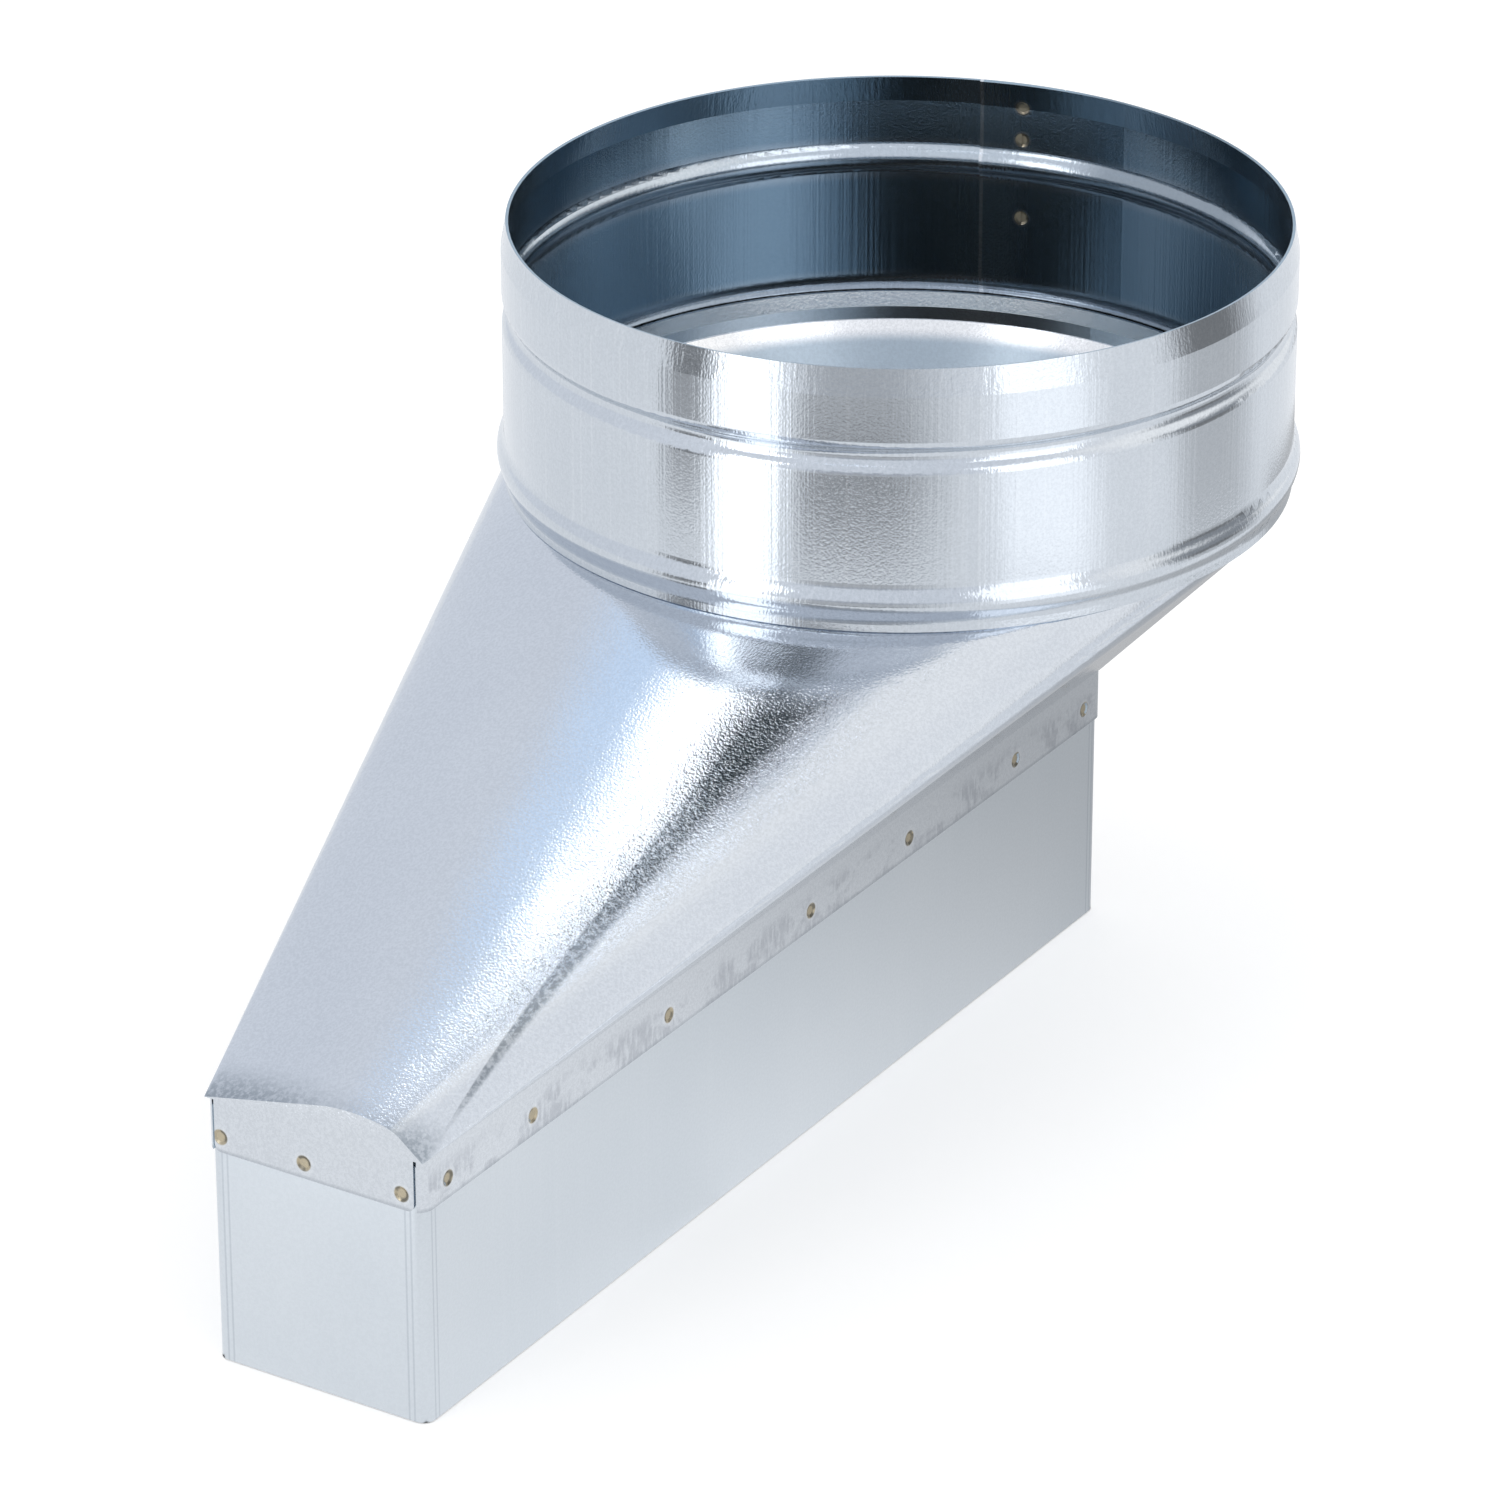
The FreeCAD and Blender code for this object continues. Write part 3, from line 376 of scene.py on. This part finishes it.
# Painted shade on the inner slopes, where little light reaches.
metal.paint(inside * (1 - neck), INSIDE_SHADE)
# Painted highlight: the neck is near-white, so that it mirrors the studio brighter.
metal.paint(inside * neck, NECK_HIGHLIGHT)
metal.dull = metal.dull + inside * (0.25 - neck * 0.10)
form.material_slots[0].material = metal.done(roughness=0.08, grain=0.018, flecked=0.12)
print("form:", len(metal.tree.nodes), "nodes")

# %% [markdown]
# The collar was bent round in rolls. They left fine upright lines, which spread each reflection
# sideways, so its finish is brushed. Inside, the groove and the bead catch some light, a thin
# bright line shows where the sheet's end lies, and on one stretch of the wall beside it a darker
# reflection is painted in.

# %% Finish the collar
SEAM_BEARING = 18.4
SEAM_EDGE, DEEP_STRETCH = (0.45, 0.15), (-62.0, -45.0, -22.0, -12.0)
GROOVE_LEVELS, BEAD_LEVELS = (0.142, 0.1445, 0.1505, 0.153), (0.123, 0.1205)
CLEAR_OF_WELD, COLLAR_ROLLING = (0.0016, 0.0022), (1300.0, 1300.0, 10.0)
ROLL_MARK = (0.84, 0.87, 0.90, 1)
WALL_REFLECTION_DARK = (0.08, 0.12, 0.16, 1)
metal = Zinc("collar_zinc", (0.69, 0.73, 0.775, 1), (0.63, 0.67, 0.715, 1))
rolling = metal.drawn_grain(metal.spot, COLLAR_ROLLING, 1.0, 0.6)
metal.height = metal.height + rolling * 0.03
metal.paint(metal.span(rolling, 0.5, 0.8) * 0.2, ROLL_MARK)
inside = metal.inside()
turned = metal.bearing(metal.vector("SUBTRACT", metal.spot, COLLAR_AXIS), SEAM_BEARING)
groove = metal.band(metal.z, *GROOVE_LEVELS)
bead = metal.span(metal.z, *BEAD_LEVELS)
swell = (groove + bead).limited()
near_weld = metal.weld_marks(collar_welds)
plain = inside * metal.span(near_weld, *CLEAR_OF_WELD)
metal.paint(plain * (1 - swell * 0.7), NAVY)
# Painted dark reflection on one stretch of the inner wall.
metal.paint(plain * metal.band(turned, *DEEP_STRETCH) * 0.5, WALL_REFLECTION_DARK)
metal.paint(inside * metal.span(abs(turned), *SEAM_EDGE) * 0.8, FAINT_MARK)
metal.dull = metal.dull + inside * 0.06
brushed_zinc = metal.done(roughness=0.12, grain=0.020, flecked=0.09, brushed=0.5)
collar.material_slots[0].material = brushed_zinc
print("collar:", len(metal.tree.nodes), "nodes")

# %% [markdown]
# Bare metal looks like what stands around it, so the studio is part of the finish. The room gives
# the same plain light from all sides. Two soft lamps give the white streaks of the collar, and
# metal alone also sees a white, a blue and a dark strip of the ceiling.

# %% Build the studio
MIDDLE = Vector((0.03, 0.0, 0.09))
STUDIO_REACH = 2.5
LAMP_FOOT, LAMP_TOP = -2, 40


def towards(bearing, height):
    """The unit vector to a bearing round the adapter and a height over the floor, in degrees."""
    bearing, height = math.radians(bearing), math.radians(height)
    flat = math.cos(height)
    return Vector((flat * math.cos(bearing), flat * math.sin(bearing), math.sin(height)))


def soft_lamp(name, bearing, width, glow):
    """A tall lamp with a flat, even face, as wide as so many degrees; glow 1 is white paper."""
    light = bpy.data.lights.new(name, "AREA")
    lamp = bpy.data.objects.new(name, light)
    low = towards(bearing, LAMP_FOOT) * STUDIO_REACH
    high = towards(bearing, LAMP_TOP) * STUDIO_REACH
    face = ((low + high) / 2).normalized()
    along = (high - low).normalized()
    across = along.cross(face).normalized()
    turn = Matrix((across, along, face)).transposed().to_4x4()
    lamp.matrix_world = Matrix.Translation(MIDDLE + (low + high) / 2) @ turn
    light.shape = "RECTANGLE"
    light.size = 2 * STUDIO_REACH * math.tan(math.radians(width / 2))
    light.size_y = (high - low).length
    light.energy = glow * math.pi * light.size * light.size_y
    lamp.visible_camera = False
    scene.collection.objects.link(lamp)
    print(name, "gives", round(light.energy, 1), "W")


soft_lamp("left_lamp", 168, 14, 1.6)
soft_lamp("right_lamp", 250, 24, 0.8)

# %% [markdown]
# The world is one plain white for everything but metal. What metal sees of it is worked out from
# the direction, as numbers to the east (+X), to the north (+Y) and up. The near corner is a cone,
# so the directions that it mirrors lie on a curve. The white strip runs along that curve, with the
# blue one on one side of it and the dark one on the other.

# %% Hang the ceiling strips
STRIP_EAST, STRIP_NORTH, STRIP_CURL = 0.30, 0.41, 15.2
BRIGHT_WIDTH, BRIGHT_TAPER, DARK_WIDTH, LEAST_WIDTH = 0.17, 0.5, 0.19, 0.05
BLUE_PART, WHITE_PART = (0.15, 0.42, 0.72, 1.35), (-0.38, -0.20, 0.15, 0.38)
DARK_PART, CEILING = (0.38, 0.6, 1.3, 1.9), (0.60, 0.74)
NORTH_HALF, OFF_MIDDLE = (-0.22, -0.12), (0.02, 0.08)
WHITE, PLAIN_ROOM = (1.0, 1.0, 1.0, 1), (0.9, 0.9, 0.9, 1)
ROOM_GREY, SIDE_GLOW = (0.84, 0.87, 0.93, 1), (1.10, 1.10, 1.10, 1)
SHADE, DARK_STRIP = (0.12, 0.14, 0.17, 1), (0.05, 0.06, 0.07, 1)
BLUE_STRIP, WHITE_STRIP = (0.80, 1.00, 1.26, 1), (3.0, 3.0, 3.0, 1)
world = bpy.data.worlds.new("studio")
scene.world = world
studio = Finish(world)
way = studio.add("ShaderNodeTexCoord", out="Generated")
east, north, level = (studio.axis(way, index) for index in range(3))
high = studio.span(level, *CEILING) * studio.span(north, *NORTH_HALF)
high = high * studio.span(abs(east), *OFF_MIDDLE)
from_bend = STRIP_EAST - abs(east)
middle = STRIP_NORTH - from_bend * from_bend * STRIP_CURL
over = (north - middle) / (BRIGHT_WIDTH - from_bend * BRIGHT_TAPER)
narrow = DARK_WIDTH - from_bend
below = (middle - north) / narrow.combine("MAXIMUM", narrow, LEAST_WIDTH)
blue_strip = studio.band(over, *BLUE_PART) * high
white_strip = studio.band(over, *WHITE_PART) * high
dark_strip = studio.band(below, *DARK_PART) * high

# %% [markdown]
# Round the horizon the right side of the room glows a little, and two dark gaps stand in it: one
# behind the camera and one to the right. The gaps stay low, so that only upright walls mirror them.

# %% Shade the horizon
VIEW_BEARING = 212.09
FRONT_GAP, RIGHT_GAP = (-30.0, -20.0, -8.0, 22.0), (70.0, 84.0, 106.0, 126.0)
FRONT_TOP, RIGHT_TOP, GLOWING_SIDE = (0.2, 0.05), (0.5, 0.2), (-110.0, -70.0, -5.0, 20.0)
turn = studio.bearing(way, 0.0)
view_turn = studio.bearing(way, VIEW_BEARING)
side_glow = studio.band(turn, *GLOWING_SIDE)
front = studio.band(view_turn, *FRONT_GAP) * studio.span(level, *FRONT_TOP)
beside = studio.band(view_turn, *RIGHT_GAP) * studio.span(level, *RIGHT_TOP)
seen = studio.shade(side_glow, ROOM_GREY, SIDE_GLOW)
seen = studio.shade(front * 0.5, seen, SHADE)
seen = studio.shade(beside * 0.8, seen, SHADE)
seen = studio.shade(blue_strip * 0.8, seen, BLUE_STRIP)
seen = studio.shade(dark_strip, seen, DARK_STRIP)
seen = studio.shade(white_strip, seen, WHITE_STRIP)
room = studio.shade(studio.ray("Camera"), PLAIN_ROOM, WHITE)
room = studio.shade(studio.ray("Glossy"), room, seen)
glow = studio.add("ShaderNodeBackground", None, {"Color": room, "Strength": 1.0})
studio.show(glow, "ShaderNodeOutputWorld")
print("world:", len(studio.tree.nodes), "nodes")

# %% [markdown]
# The floor is a plain pale sheet of paper. It is seen from above only: from below it lets the view
# through, so that the underside of the adapter can be looked at. The upright wall of the collar
# mirrors the floor in front of it, so metal alone sees the lamps' light and the dark between them
# lie there as a fan round the collar's axis. Under the sleeve no light reaches the floor.

# %% Draw the fan that the collar mirrors
LEFT_STREAK, RIGHT_STREAK = (-53.0, -47.0, -35.0, -30.0), (19.0, 30.0, 44.0, 58.0)
LEFT_DARK, FRONT_DARK = (-69.0, -62.0, -56.0, -52.0), (-30.0, -23.0, -6.0, 20.0)
BACK_DARK = (72.0, 86.0, 98.0, 118.0)
RING, OUTER, FADED, DISTANT = (0.312, 0.325), (0.366, 0.380), (0.400, 0.420), (0.45, 0.8)
SHADED_LENGTH, SHADED_WIDTH = (-0.04, 0.20), (0.17, 0.12)
sheet = Finish(bpy.data.materials.new("floor_paper"))
spot = sheet.place()
fan_spot = sheet.vector("SUBTRACT", spot, COLLAR_AXIS)
fan = sheet.bearing(fan_spot, VIEW_BEARING)
away = sheet.add("ShaderNodeVectorMath", {"operation": "LENGTH"}, {0: fan_spot}, out=1)
ring, outer, faded, distant = (sheet.span(away, *part) for part in (RING, OUTER, FADED, DISTANT))
lamp_left = sheet.band(fan, *LEFT_STREAK) * ring
lamp_right = sheet.band(fan, *RIGHT_STREAK) * ring
dark_left = sheet.band(fan, *LEFT_DARK) * outer
dark_front = sheet.band(fan, *FRONT_DARK) * (outer - faded * 0.58)
dark_back = sheet.band(fan, *BACK_DARK) * ring
gleam = 1.0 + lamp_left * 0.9 + lamp_right * 0.4
gleam = gleam - dark_left * 0.55 - dark_front * 0.95 - dark_back * 0.35
gleam = gleam - distant * (dark_left * 0.2 + dark_back * 0.4)
spot_x, spot_y = abs(sheet.axis(spot, 0)), abs(sheet.axis(spot, 1))
# Painted shadow: under the collar's overhang the floor that metal sees is darker.
shaded = sheet.span(sheet.axis(spot, 0), *SHADED_LENGTH) * sheet.span(spot_y, *SHADED_WIDTH)
gleam = gleam * (1 - shaded * (1 - ring) * 0.45)
under_sleeve = (spot_x < SLEEVE_END) * (spot_y < SLEEVE_SIDE)
gleam = gleam * (1 - under_sleeve * 0.97)

# %% [markdown]
# To the camera the paper is nearly white and keeps the adapter's shadow. A little light of its own
# lifts it to the white of the backdrop. Metal sees the fan in its place, as light and no paint.

# %% Lay the floor
PAPER, PAPER_GREY = (0.93, 0.95, 0.98), (0.86, 0.86, 0.86, 1)
BLACK, LIFT = (0.0, 0.0, 0.0, 1), (0.32, 0.32, 0.32, 1)
FLOOR_REACH, FLOOR_DROP = 6, 0.0002
paper = bpy.data.meshes.new("floor")
corners = [(x * FLOOR_REACH, y * FLOOR_REACH, 0) for x, y in ((-1, -1), (1, -1), (1, 1), (-1, 1))]
paper.from_pydata(corners, [], [(0, 1, 2, 3)])
floor = bpy.data.objects.new("floor", paper)
floor.location.z = -FLOOR_DROP
scene.collection.objects.link(floor)
seen = (sheet.ray("Camera") + sheet.ray("Transmission")).limited()
in_metal = sheet.ray("Glossy")
scaled = {0: PAPER, "Scale": gleam}
mirrored = sheet.add("ShaderNodeVectorMath", {"operation": "SCALE"}, scaled)
sockets = {"Roughness": 1.0, "Specular IOR Level": 0.0, "Emission Strength": 1.0}
sockets["Base Color"] = sheet.shade(in_metal, PAPER_GREY, BLACK)
sockets["Emission Color"] = sheet.shade(in_metal, sheet.shade(seen, BLACK, LIFT), mirrored)
lit = sheet.add("ShaderNodeBsdfPrincipled", None, sockets)
clear = sheet.add("ShaderNodeBsdfTransparent")
from_below = sheet.add("ShaderNodeNewGeometry", out="Backfacing")
sheet.show(sheet.add("ShaderNodeMixShader", None, {0: from_below, 1: lit, 2: clear}))
paper.materials.append(sheet.owner)
print("floor:", 2 * FLOOR_REACH, "m wide,", len(sheet.tree.nodes), "nodes")
